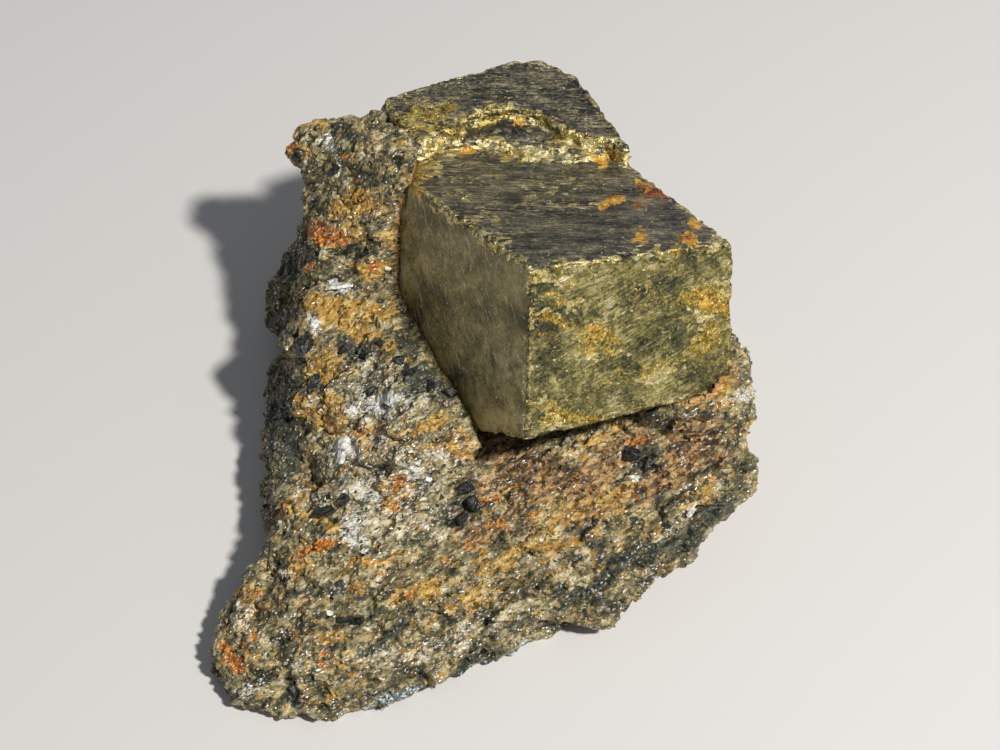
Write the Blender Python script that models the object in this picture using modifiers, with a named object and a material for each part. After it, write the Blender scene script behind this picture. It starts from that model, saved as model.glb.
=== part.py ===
# Pyrite block crystal in its schist matrix: a hand specimen that rests on the flat cut under the rock.
# Metres, +Z up. The front of the specimen looks along -Y, and the origin is the bottom centre of its box.
# Corners below are written in millimetres and turned into metres by mm().

import math

import bmesh
import bpy
from mathutils import Matrix, Vector

# Driving dimensions, in millimetres
SOCKET_GAP = 0.3  # between the crystal and the rock that holds it
CRYSTAL_BEVEL = 0.3
ROCK_VOXEL = 0.8  # the blocks grow together on this grid
SURFACE_VOXEL = 0.7  # and the finished relief is cleaned on this one
ROCK_TRIANGLES = 7600
LUMP_SIZE = 6.0  # width of the rock's broad lumps
LUMP_DEPTH = 1.0
KNOT_SIZE = 2.2  # width of its small knots
KNOT_DEPTH = 0.8
ROCK_SWELL = 0.08  # the relief stands this share further out than in
BLOCK_SIZE = 160.0  # the rough cube that crystal faces are cut from
GROUND_SIZE = 200.0  # the block below the flat cut
PRISM_HEIGHTS = (-20.0, 60.0)  # bottom and top of the prisms behind and before a ragged line
PRISM_FRONT = -40.0  # and how far they reach
PRISM_BACK = 50.0
EDGE_ANGLE = 35.0  # crystal edges sharper than this, in degrees, are worn
GRAIN_TURN = (35.0, 25.0)  # how a dark grain lies, in degrees round Z and Y

# Corner where the top, the right front and the left face of the crystal meet
TOP_CORNER = (3.6, -7.1, 35.4)

# Crystal faces: the way a face looks (degrees round from +X, degrees up) and a point on it
SIDE_FACES = {
    "right_front": (-66.9, 29.0, TOP_CORNER),
    "right_back": (18.5, -8.0, (21.9, -1.1, 32.3)),
    "right_rear": (22.5, -3.0, (11.0, 24.5, 25.5)),
    "rear_right": (52.0, 0.0, (8.6, 29.6, 25.2)),
    "rear": (92.0, 3.0, (3.0, 32.0, 25.0)),
    "rear_left": (115.0, 4.0, (-6.1, 28.0, 25.3)),
    "underside": (-74.9, -48.9, (3.2, -15.4, 21.9)),
    "base": (-90.0, -83.7, (2.0, 10.0, 10.0)),
}
LEFT_FACE = (-155.0, 15.9, TOP_CORNER)
REAR_LEFT_SIDE = (-156.0, 8.0, (-7.2, 17.4, 26.0))
FRONT_TERRACE = (87.2, 65.8, TOP_CORNER)
REAR_TERRACE = (90.0, 85.4, (1.8, 31.7, 25.0))
MIDDLE_TREAD = (90.0, 85.4, (1.8, 31.7, 23.5))

# Ragged lines that the terraces break along, seen from above
STEP_FOOT = [
    (-16.0, 12.0), (-7.2, 17.1), (-4.6, 20.2), (0.8, 20.4), (2.7, 18.9), (5.0, 17.6),
    (10.2, 17.9), (12.2, 18.9), (13.4, 17.6), (15.5, 16.4), (26.0, 14.0),
]
TREAD_BACK = [
    (-9.0, 17.0), (-3.4, 19.0), (-2.8, 22.8), (0.0, 23.8), (2.3, 24.0), (5.2, 23.0),
    (7.5, 20.5), (10.8, 19.2), (14.0, 17.6), (26.0, 12.0),
]
# Rear left corner that the crystal never filled, where the rock stands against it
ROCK_CORNER = [(-30.0, 11.5), (-7.7, 11.5), (-7.3, 17.2), (-11.4, 24.0), (-15.0, 34.0)]

# The rock: each block is the hull of its corners, and the blocks grow into one body
ROCK_BLOCKS = {
    "ledge": [
        (-1.4, -11.2, 12.8), (6.6, -10.5, 13.4), (13.2, -8.6, 15.2), (23.9, -9.3, 15.0),
        (24.9, -11.4, 12.7), (24.6, -12.6, 11.7), (19.4, -16.6, 9.3), (12.5, -20.9, 6.6),
        (4.5, -24.0, 5.6), (-4.0, -27.0, 4.0), (-5.0, -24.0, 0.0), (3.0, -19.0, 0.0),
        (11.0, -13.5, 0.0), (17.0, -6.0, 0.0), (21.0, 1.0, 0.0), (-4.0, 6.0, 0.0),
        (0.0, 4.0, 11.5), (20.0, 4.0, 14.0),
    ],
    "under_layer": [
        (7.5, -22.8, 3.4), (12.2, -22.2, 3.8), (14.3, -19.8, 4.8), (16.8, -17.4, 5.8),
        (20.0, -15.2, 7.8), (24.4, -12.9, 10.0), (26.0, -12.0, 11.0), (24.6, -8.4, 9.0),
        (9.0, -19.0, 0.4), (17.0, -9.0, 1.0), (4.0, -18.0, 1.0), (16.0, -8.0, 8.0),
    ],
    "loose_flake": [
        (5.8, -20.0, 4.8), (12.6, -19.4, 5.0), (13.0, -20.9, 4.0), (11.5, -22.6, 2.8),
        (9.5, -23.2, 2.7), (6.0, -22.9, 3.3), (8.0, -18.0, 3.2), (11.4, -21.8, 2.0),
        (9.4, -22.3, 1.9), (6.2, -21.8, 2.4),
    ],
    "pale_seam": [
        (-16.2, -31.8, 0.0), (-14.2, -31.6, 0.0), (-3.7, -26.3, 0.0), (6.9, -21.8, 0.0),
        (-15.9, -31.8, 1.3), (-3.7, -26.5, 1.5), (6.9, -22.0, 1.6), (6.5, -18.5, 1.6),
        (-14.0, -27.5, 1.4), (-14.0, -27.0, 0.0), (6.5, -18.0, 0.0),
    ],
    "right_block": [
        (15.6, -9.4, 18.8), (18.0, -10.1, 20.8), (19.7, -9.5, 21.7), (23.0, -7.8, 22.6),
        (24.4, -6.9, 17.2), (24.1, -9.3, 15.0), (18.0, -9.4, 16.0), (14.0, -8.4, 15.6),
        (24.4, -2.0, 12.0), (23.6, 3.0, 15.0), (15.0, 2.0, 15.0), (22.8, -1.0, 19.6),
        (20.0, 0.0, 6.0),
    ],
    "nose": [
        (-1.6, -10.6, 16.6), (-3.1, -12.0, 17.4), (-5.5, -7.5, 17.6), (-4.7, -2.7, 16.4),
        (-8.3, -9.5, 17.0), (-8.8, 7.2, 16.8), (-7.3, 3.3, 16.0), (-12.0, 4.0, 16.4),
        (-2.0, -12.4, 14.0), (-9.0, -13.4, 13.6), (-4.0, 6.0, 8.0), (-12.0, -10.0, 6.0),
        (-2.0, -10.0, 6.0),
    ],
    "wall": [
        (-18.2, 3.9, 14.8), (-15.7, -8.2, 10.1), (-16.1, -9.9, 9.9), (-14.5, 0.7, 15.3),
        (-13.8, -6.1, 13.1), (-12.1, -11.9, 12.9), (-8.4, -11.0, 14.4), (-8.8, 7.2, 16.8),
        (-12.7, 6.1, 16.9), (-17.6, 8.4, 15.8), (-21.6, -7.0, 0.0), (-22.6, 1.0, 1.0),
        (-21.0, 9.0, 1.0), (-2.0, -8.0, 0.0), (-2.0, 10.0, 0.0),
    ],
    "foot": [
        (-22.6, -20.2, 3.5), (-25.9, -24.9, 2.8), (-24.6, -28.9, 2.0), (-23.6, -29.9, 1.4),
        (-20.2, -30.6, 1.6), (-15.9, -32.2, 1.4), (-8.2, -29.4, 2.3), (-3.6, -28.0, 3.3),
        (-17.2, -26.8, 6.9), (-10.8, -27.0, 7.3), (-3.6, -23.4, 8.4), (-22.0, -26.7, 5.0),
        (-21.6, -21.6, 5.9), (-18.7, -16.9, 8.6), (-18.2, -12.6, 9.8), (-14.0, -13.6, 12.0),
        (-0.8, -18.3, 10.7), (-1.8, -11.6, 13.2), (-24.6, -25.5, 0.0), (-22.8, -28.8, 0.0),
        (-16.0, -31.0, 0.0), (-8.0, -27.6, 0.0), (-2.0, -23.0, 0.0), (-20.6, -10.0, 0.0),
        (0.0, -8.0, 0.0),
    ],
    "left_core": [
        (-20.4, -10.0, 0.0), (-20.6, 18.0, 0.0), (-19.0, 24.0, 0.0), (-10.0, -8.0, 0.0),
        (-8.0, 30.6, 0.0), (-2.0, 31.0, 0.0), (-19.6, -5.0, 6.0), (-20.2, 10.0, 7.0),
        (-19.8, 18.0, 9.0), (-17.6, 24.6, 12.0), (-13.0, 28.6, 13.0), (-9.0, 30.4, 15.0),
        (-8.0, 8.0, 12.0), (-4.0, 24.0, 9.0),
    ],
    "low_flank": [
        (-20.2, -12.0, 7.2), (-21.4, -14.0, 2.0), (-22.0, -2.6, 0.9), (-23.0, 1.9, 0.9),
        (-23.4, 8.8, 1.8), (-22.4, 11.8, 1.4), (-19.4, 4.4, 8.8), (-17.6, -8.0, 8.6),
        (-22.0, 6.0, 0.0), (-20.0, -12.0, 0.0), (-12.0, 0.0, 0.0), (-14.0, -6.0, 9.0),
    ],
    "high_flank": [
        (-23.2, 16.7, 4.3), (-22.6, 18.5, 3.1), (-22.2, 12.7, 4.3), (-21.0, 19.5, 8.1),
        (-20.5, 20.3, 10.3), (-18.6, 8.8, 13.8), (-16.5, 9.1, 16.7), (-19.0, 20.6, 13.9),
        (-17.9, 13.3, 17.7), (-20.6, 12.0, 1.0), (-20.6, 19.0, 1.0), (-12.0, 14.0, 4.0),
        (-12.0, 10.0, 16.0),
    ],
    "back_wall": [
        (-17.9, 20.6, 18.0), (-17.9, 13.3, 17.5), (-16.6, 9.6, 17.2), (-14.2, 12.4, 21.8),
        (-8.6, 9.4, 20.8), (-8.5, 11.8, 25.0), (-7.6, 13.3, 28.0), (-10.2, 16.6, 27.0),
        (-13.8, 18.0, 26.0), (-10.6, 24.0, 26.2), (-14.8, 23.6, 25.3), (-8.8, 7.4, 17.0),
        (-6.6, 17.4, 26.8), (-6.6, 13.0, 27.6),
        (-18.4, 23.6, 20.0), (-19.6, 20.0, 0.0), (-16.0, 27.0, 0.0), (-8.0, 28.0, 12.0),
        (-4.0, 16.0, 8.0), (-10.0, 26.6, 20.0),
    ],
    "knob": [
        (-20.9, 24.0, 20.8), (-19.8, 25.2, 22.2), (-17.6, 25.2, 24.0), (-18.8, 20.4, 20.6),
        (-16.4, 19.6, 23.4), (-15.0, 22.0, 17.0), (-19.6, 24.4, 17.0), (-14.6, 24.2, 24.8),
    ],
    "rear_mass": [
        (-18.0, 24.0, 0.0), (-12.0, 29.5, 0.0), (-2.0, 32.4, 0.0), (8.0, 30.6, 0.0),
        (16.0, 23.6, 0.0), (21.0, 13.0, 0.0), (21.6, 2.0, 0.0), (-16.5, 25.0, 15.0),
        (-11.0, 30.0, 17.0), (-1.0, 33.0, 15.0), (8.5, 31.4, 12.5), (16.8, 23.0, 11.0),
        (21.6, 12.0, 9.5), (22.8, 3.0, 12.0), (-4.0, 0.0, 0.0), (0.0, 2.0, 10.0),
    ],
}

# Black blocky grains on the left brow: middle and side
DARK_GRAINS = {
    "upper": ((-18.8, 3.7, 13.2), 3.2),
    "lower": ((-18.2, -1.5, 10.9), 2.5),
}


def mm(*values):
    return Vector(values) / 1000.0


def direction(around, up):
    around, up = math.radians(around), math.radians(up)
    return Vector((math.cos(up) * math.cos(around), math.cos(up) * math.sin(around), math.sin(up)))


def clear_scene():
    for obj in list(bpy.data.objects):
        bpy.data.objects.remove(obj, do_unlink=True)


def new_collection(name):
    collection = bpy.data.collections.new(name)
    bpy.context.scene.collection.children.link(collection)
    return collection


def add_object(name, shape, collection):
    """Turns a bmesh into a named object."""
    mesh = bpy.data.meshes.new(name)
    bmesh.ops.recalc_face_normals(shape, faces=shape.faces)
    shape.to_mesh(mesh)
    shape.free()
    obj = bpy.data.objects.new(name, mesh)
    collection.objects.link(obj)
    return obj


def as_cutter(obj):
    obj.hide_render = True
    obj.display_type = "WIRE"
    return obj


def material(name, colour, roughness, metallic):
    made = bpy.data.materials.new(name)
    made.use_nodes = True
    shader = made.node_tree.nodes["Principled BSDF"]
    shader.inputs["Base Color"].default_value = (*colour, 1.0)
    shader.inputs["Roughness"].default_value = roughness
    shader.inputs["Metallic"].default_value = metallic
    return made


def cut_by_faces(faces, grow=0.0):
    """A large cube cut down to the given crystal faces, each moved out by grow."""
    shape = bmesh.new()
    bmesh.ops.create_cube(shape, size=BLOCK_SIZE / 1000.0)
    for around, up, point in faces:
        normal = direction(around, up)
        cut = bmesh.ops.bisect_plane(
            shape, geom=shape.verts[:] + shape.edges[:] + shape.faces[:], dist=1e-7,
            plane_co=mm(*point) + normal * grow, plane_no=normal, clear_outer=True,
        )
        rim = [item for item in cut["geom_cut"] if isinstance(item, bmesh.types.BMEdge)]
        bmesh.ops.contextual_create(shape, geom=rim)
    return shape


def prism(name, line, close_at, cutters):
    """A cutter that stands on the strip between a ragged line and y = close_at."""
    low, high = PRISM_HEIGHTS
    shape = bmesh.new()
    outline = [*line, (line[-1][0], close_at), (line[0][0], close_at)]
    floor = shape.faces.new([shape.verts.new(mm(x, y, low)) for x, y in outline])
    grown = bmesh.ops.extrude_face_region(shape, geom=[floor])
    top = [item for item in grown["geom"] if isinstance(item, bmesh.types.BMVert)]
    bmesh.ops.translate(shape, verts=top, vec=mm(0, 0, high - low))
    return as_cutter(add_object(name, shape, cutters))


def hull(corners):
    shape = bmesh.new()
    for corner in corners:
        shape.verts.new(mm(*corner))
    bmesh.ops.convex_hull(shape, input=shape.verts)
    inside = [vertex for vertex in shape.verts if not vertex.link_faces]
    bmesh.ops.delete(shape, geom=inside, context="VERTS")
    return shape


def boolean(obj, other, operation, solver="EXACT"):
    step = obj.modifiers.new(operation.lower(), "BOOLEAN")
    step.operation = operation
    step.object = other
    step.solver = solver


def settle(obj):
    """Replaces the object's mesh by what its modifiers make of it."""
    graph = bpy.context.evaluated_depsgraph_get()
    mesh = bpy.data.meshes.new_from_object(obj.evaluated_get(graph))
    obj.modifiers.clear()
    obj.data = mesh


def opposite(face):
    around, up, point = face
    return around + 180.0, -up, point


def make_crystal(parts, cutters):
    sides = list(SIDE_FACES.values())
    crystal = add_object("pyrite_crystal", cut_by_faces([*sides, LEFT_FACE, FRONT_TERRACE]), parts)
    grown = cut_by_faces([*sides, REAR_LEFT_SIDE, REAR_TERRACE])
    rear = as_cutter(add_object("rear_growth", grown, cutters))
    before_step = prism("before_step", STEP_FOOT, PRISM_FRONT, cutters)
    tread = as_cutter(add_object("tread", cut_by_faces([opposite(MIDDLE_TREAD)]), cutters))
    before_tread = prism("before_tread", TREAD_BACK, PRISM_FRONT, cutters)
    boolean(tread, before_tread, "INTERSECT")
    corner = prism("rock_corner", ROCK_CORNER, PRISM_BACK, cutters)
    boolean(rear, before_step, "DIFFERENCE")
    boolean(rear, tread, "DIFFERENCE")
    boolean(crystal, corner, "DIFFERENCE")
    boolean(crystal, rear, "UNION")
    edges = crystal.modifiers.new("worn_edges", "BEVEL")
    edges.width = CRYSTAL_BEVEL / 1000.0
    edges.segments = 1
    edges.angle_limit = math.radians(EDGE_ANGLE)
    return crystal


def add_block(shape, block):
    """Puts one closed block among the others that the rock is grown from."""
    bmesh.ops.recalc_face_normals(block, faces=block.faces)
    piece = bpy.data.meshes.new("block")
    block.to_mesh(piece)
    block.free()
    shape.from_mesh(piece)
    bpy.data.meshes.remove(piece)


def dark_grain(middle, side):
    grain = bmesh.new()
    round_z, round_y = [math.radians(angle) for angle in GRAIN_TURN]
    turn = Matrix.Rotation(round_z, 4, "Z") @ Matrix.Rotation(round_y, 4, "Y")
    bmesh.ops.create_cube(grain, size=side / 1000.0, matrix=Matrix.Translation(mm(*middle)) @ turn)
    return grain


def regrow(obj, name, voxel):
    grown = obj.modifiers.new(name, "REMESH")
    grown.mode = "VOXEL"
    grown.voxel_size = voxel / 1000.0


def keep_largest(obj):
    shape = bmesh.new()
    shape.from_mesh(obj.data)
    left, islands = set(shape.verts), []
    while left:
        island, edge = set(), [left.pop()]
        while edge:
            vertex = edge.pop()
            island.add(vertex)
            for link in vertex.link_edges:
                near = link.other_vert(vertex)
                if near in left:
                    left.discard(near)
                    edge.append(near)
        islands.append(island)
    islands.sort(key=len)
    for island in islands[:-1]:
        bmesh.ops.delete(shape, geom=list(island), context="VERTS")
    shape.to_mesh(obj.data)
    shape.free()


def make_rock(parts, cutters):
    shape = bmesh.new()
    for corners in ROCK_BLOCKS.values():
        add_block(shape, hull(corners))
    for middle, side in DARK_GRAINS.values():
        add_block(shape, dark_grain(middle, side))
    rock = add_object("schist_matrix", shape, parts)
    regrow(rock, "grown_together", ROCK_VOXEL)
    soft = rock.modifiers.new("soft", "SMOOTH")
    soft.iterations = 2
    for name, size, depth in (("lumps", LUMP_SIZE, LUMP_DEPTH), ("knots", KNOT_SIZE, KNOT_DEPTH)):
        texture = bpy.data.textures.new(name, "CLOUDS")
        texture.noise_scale = size / 1000.0
        texture.noise_depth = 1
        relief = rock.modifiers.new(name, "DISPLACE")
        relief.texture = texture
        relief.texture_coords = "GLOBAL"
        relief.strength = depth / 1000.0
        relief.mid_level = 0.5 - ROCK_SWELL
    regrow(rock, "one_skin", SURFACE_VOXEL)
    settle(rock)
    thin = rock.modifiers.new("fewer_faces", "DECIMATE")
    thin.ratio = ROCK_TRIANGLES / (2.0 * len(rock.data.polygons))
    settle(rock)
    sides = list(SIDE_FACES.values())
    front = cut_by_faces([*sides, LEFT_FACE], SOCKET_GAP / 1000.0)
    socket = as_cutter(add_object("socket", front, cutters))
    kept = [(x - SOCKET_GAP, y + SOCKET_GAP) for x, y in ROCK_CORNER]
    kept_corner = prism("kept_corner", kept, PRISM_BACK, cutters)
    boolean(socket, kept_corner, "DIFFERENCE")
    rear = cut_by_faces([*sides, REAR_LEFT_SIDE], SOCKET_GAP / 1000.0)
    rear_socket = as_cutter(add_object("rear_socket", rear, cutters))
    block = bmesh.new()
    below = Matrix.Translation(mm(0, 0, -GROUND_SIZE / 2))
    bmesh.ops.create_cube(block, size=GROUND_SIZE / 1000.0, matrix=below)
    ground = as_cutter(add_object("ground", block, cutters))
    boolean(rock, socket, "DIFFERENCE", "MANIFOLD")
    boolean(rock, rear_socket, "DIFFERENCE", "MANIFOLD")
    boolean(rock, ground, "DIFFERENCE", "MANIFOLD")
    settle(rock)
    keep_largest(rock)
    return rock


def centre_on_origin(objects):
    """Moves everything so that the bottom centre of the specimen's box is the origin."""
    graph = bpy.context.evaluated_depsgraph_get()
    corners = [Vector(corner) for obj in objects for corner in obj.evaluated_get(graph).bound_box]
    low = Vector([min(corner[axis] for corner in corners) for axis in range(3)])
    high = Vector([max(corner[axis] for corner in corners) for axis in range(3)])
    middle = (low + high) / 2.0
    middle.z = low.z
    for obj in bpy.data.objects:
        obj.location = -middle


clear_scene()
parts = new_collection("pyrite_specimen")
cutters = new_collection("cutters")
crystal = make_crystal(parts, cutters)
crystal.data.materials.append(material("tarnished_pyrite", (0.30, 0.25, 0.11), 0.38, 0.9))
rock = make_rock(parts, cutters)
rock.data.materials.append(material("chlorite_schist", (0.22, 0.17, 0.11), 0.7, 0.0))
centre_on_origin([crystal, rock])
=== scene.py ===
import math
import random

import bmesh
import bpy
import numpy as np
from mathutils import Matrix, Vector
from mathutils.bvhtree import BVHTree
from mathutils.kdtree import KDTree


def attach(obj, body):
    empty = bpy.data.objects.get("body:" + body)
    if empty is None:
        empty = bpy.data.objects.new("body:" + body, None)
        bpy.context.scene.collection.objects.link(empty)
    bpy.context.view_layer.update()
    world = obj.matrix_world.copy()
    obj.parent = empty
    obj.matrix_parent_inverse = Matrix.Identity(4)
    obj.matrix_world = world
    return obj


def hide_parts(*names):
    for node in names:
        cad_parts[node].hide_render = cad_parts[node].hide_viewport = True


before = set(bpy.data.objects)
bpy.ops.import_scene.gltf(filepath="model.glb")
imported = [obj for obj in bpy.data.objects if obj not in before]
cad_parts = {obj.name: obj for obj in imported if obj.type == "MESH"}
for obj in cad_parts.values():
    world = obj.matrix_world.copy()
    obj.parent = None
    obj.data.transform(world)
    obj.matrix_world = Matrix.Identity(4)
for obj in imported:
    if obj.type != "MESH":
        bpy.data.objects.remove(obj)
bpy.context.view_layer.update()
print("frame loaded")

mm = 0.001  # the scene is in metres, sizes below are in millimetres

# the view that the photograph was taken from
view = {
    "aim": (1.17, 2.13, 9.0),
    "distance": 200.0,
    "elevation": 50.0,
    "lens": 72.0,
    "sensor": 36.0,
    "width": 1000,
    "height": 750,
}


def addCamera():
    data = bpy.data.cameras.new("photoCamera")
    data.lens = view["lens"]
    data.sensor_width = view["sensor"]
    data.clip_start = 0.005
    camera = bpy.data.objects.new("photoCamera", data)
    bpy.context.scene.collection.objects.link(camera)
    up = math.radians(view["elevation"])
    forward = Vector((0.0, math.cos(up), -math.sin(up)))
    camera.location = (Vector(view["aim"]) - forward * view["distance"]) * mm
    camera.rotation_euler = (math.radians(90.0 - view["elevation"]), 0.0, 0.0)
    bpy.context.scene.camera = camera
    bpy.context.view_layer.update()
    return camera


camera = addCamera()
eye = np.array(camera.location) / mm
cameraAxes = np.array(camera.matrix_world.to_3x3()).T  # right, up, backward
focal = view["lens"] / view["sensor"] * view["width"]


# pixel of the photograph that a point (mm) falls on
def toPhoto(points):
    local = (points - eye) @ cameraAxes.T
    depth = -local[:, 2]
    across = view["width"] / 2 + focal * local[:, 0] / depth
    down = view["height"] / 2 - focal * local[:, 1] / depth
    return np.stack([across, down], axis=1)


# point and outward normal (mm) of the model under a pixel of the photograph
def underPhoto(tree, across, down):
    ray = cameraAxes[0] * (across - view["width"] / 2) - cameraAxes[1] * (down - view["height"] / 2)
    ray = Vector(ray - cameraAxes[2] * focal).normalized()
    place, normal = tree.ray_cast(camera.location, ray)[:2]
    return (np.array(place) / mm, np.array(normal)) if place else (None, None)


def treeOf(obj):
    return BVHTree.FromPolygons(
        [vertex.co for vertex in obj.data.vertices],
        [list(polygon.vertices) for polygon in obj.data.polygons],
    )


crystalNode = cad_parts["pyrite_crystal"]
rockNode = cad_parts["schist_matrix"]
crystalTree = treeOf(crystalNode)
rockTree = treeOf(rockNode)
print("camera placed")


# repeatable random number in 0..1 for each whole-number cell
def cellRandom(cells, seed):
    x, y, z = [(cells[..., axis].astype(np.int64) & 0xFFFFFFFF).astype(np.uint64) for axis in range(3)]
    mixed = x * 374761393 + y * 668265263 + z * 2246822519 + seed * 3266489917
    mixed = ((mixed ^ (mixed >> 13)) * 1274126177) & 0xFFFFFFFF
    mixed = ((mixed ^ (mixed >> 16)) * 2654435761) & 0xFFFFFFFF
    return ((mixed ^ (mixed >> 15)) & 0xFFFFFF) / 16777215.0


# smooth noise in 0..1 with lumps about size mm wide
def softNoise(points, size, seed):
    scaled = points / size
    base = np.floor(scaled)
    part = scaled - base
    part = part * part * (3.0 - 2.0 * part)
    total = np.zeros(len(points))
    for corner in np.ndindex(2, 2, 2):
        weight = np.ones(len(points))
        for axis in range(3):
            weight *= part[:, axis] if corner[axis] else 1.0 - part[:, axis]
        total += weight * cellRandom(base + np.array(corner), seed)
    return total


# three layers of soft noise, each half as large and half as strong as the one before
def layeredNoise(points, size, seed):
    shares = [1.0, 0.5, 0.25]
    parts = [share * softNoise(points, size * share, seed + layer) for layer, share in enumerate(shares)]
    return sum(parts) / sum(shares)


# grains about size mm wide: way to the grain's middle, gap at its edge, three random numbers of the grain
def grains(points, size, seed):
    scaled = points / size
    base = np.floor(scaled)
    nearest = np.full(len(points), 9.0)
    second = np.full(len(points), 9.0)
    offset = np.zeros_like(points)
    owner = np.zeros_like(points)
    for corner in np.ndindex(3, 3, 3):
        cell = base + np.array(corner) - 1.0
        spread = np.stack([cellRandom(cell, seed + axis) for axis in range(3)], axis=1)
        way = cell + spread - scaled
        gap = np.sqrt((way * way).sum(axis=1))
        closer = gap < nearest
        second = np.where(closer, nearest, np.minimum(second, gap))
        nearest = np.where(closer, gap, nearest)
        offset[closer] = way[closer]
        owner[closer] = cell[closer]
    numbers = np.stack([cellRandom(owner, seed + 10 + axis) for axis in range(3)], axis=1)
    return offset * size, (second - nearest) * size, numbers


def smoothStep(value, low, high):
    part = np.clip((value - low) / (high - low), 0.0, 1.0)
    return part * part * (3.0 - 2.0 * part)


spotEdges = [(2.4, 13.0), (0.9, 9.0)]  # a stain's edge wanders: size in mm, reach in pixels


# soft mask of ellipses in photograph pixels: across, down, half width, half height, turn, strength
def photoSpots(pixels, facing, spots):
    total = np.zeros(len(pixels))
    flat = np.column_stack([pixels / 10.0, np.zeros(len(pixels))])
    for size, reach in spotEdges:
        shifts = [softNoise(flat, size, seed) - 0.5 for seed in (90, 91)]
        pixels = pixels + np.stack(shifts, axis=1) * reach
    for across, down, wide, high, turn, strength in spots:
        angle = math.radians(turn)
        x = pixels[:, 0] - across
        y = -(pixels[:, 1] - down)
        along = (x * math.cos(angle) + y * math.sin(angle)) / wide
        aside = (y * math.cos(angle) - x * math.sin(angle)) / high
        total = np.maximum(total, strength * (1.0 - smoothStep(np.hypot(along, aside), 0.35, 1.35)))
    return total * facing


def remeshed(node, name, voxel):
    mesh = node.data.copy()
    obj = bpy.data.objects.new(name, mesh)
    bpy.context.scene.collection.objects.link(obj)
    weld = bmesh.new()
    weld.from_mesh(mesh)
    bmesh.ops.remove_doubles(weld, verts=weld.verts, dist=1e-7)
    weld.to_mesh(mesh)
    weld.free()
    step = obj.modifiers.new("fine", "REMESH")
    step.mode = "VOXEL"
    step.voxel_size = voxel * mm
    graph = bpy.context.evaluated_depsgraph_get()
    fine = bpy.data.meshes.new_from_object(obj.evaluated_get(graph))
    obj.modifiers.clear()
    obj.data = fine
    fine.name = name
    fine.materials.clear()
    return obj


def readPoints(mesh):
    points = np.empty(len(mesh.vertices) * 3, np.float32)
    mesh.vertices.foreach_get("co", points)
    return points.reshape(-1, 3).astype(float) / mm


def readNormals(mesh):
    normals = np.empty(len(mesh.vertices) * 3, np.float32)
    mesh.vertex_normals.foreach_get("vector", normals)
    return normals.reshape(-1, 3).astype(float)


def writePoints(mesh, points):
    mesh.vertices.foreach_set("co", (points * mm).astype(np.float32).reshape(-1))
    mesh.update()


def writeLayer(mesh, name, values):
    layer = mesh.attributes.new(name, "FLOAT", "POINT")
    layer.data.foreach_set("value", np.clip(values, 0.0, 1.0).astype(np.float32))


# distance (mm) from each point to the nearest of some places
def distanceTo(points, places):
    tree = KDTree(len(places))
    for index, place in enumerate(places):
        tree.insert(place, index)
    tree.balance()
    return np.array([tree.find(point)[2] for point in points])


# shader arithmetic: operators on a socket add Math nodes
class Socket:
    def __init__(self, finish, source):
        self.finish = finish
        self.source = source

    def math(self, operation, first, second):
        return self.finish.node("ShaderNodeMath", {"operation": operation}, {0: first, 1: second})

    def __add__(self, other):
        return self.math("ADD", self, other)

    def __radd__(self, other):
        return self.math("ADD", other, self)

    def __sub__(self, other):
        return self.math("SUBTRACT", self, other)

    def __rsub__(self, other):
        return self.math("SUBTRACT", other, self)

    def __mul__(self, other):
        return self.math("MULTIPLY", self, other)

    def __rmul__(self, other):
        return self.math("MULTIPLY", other, self)


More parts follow.
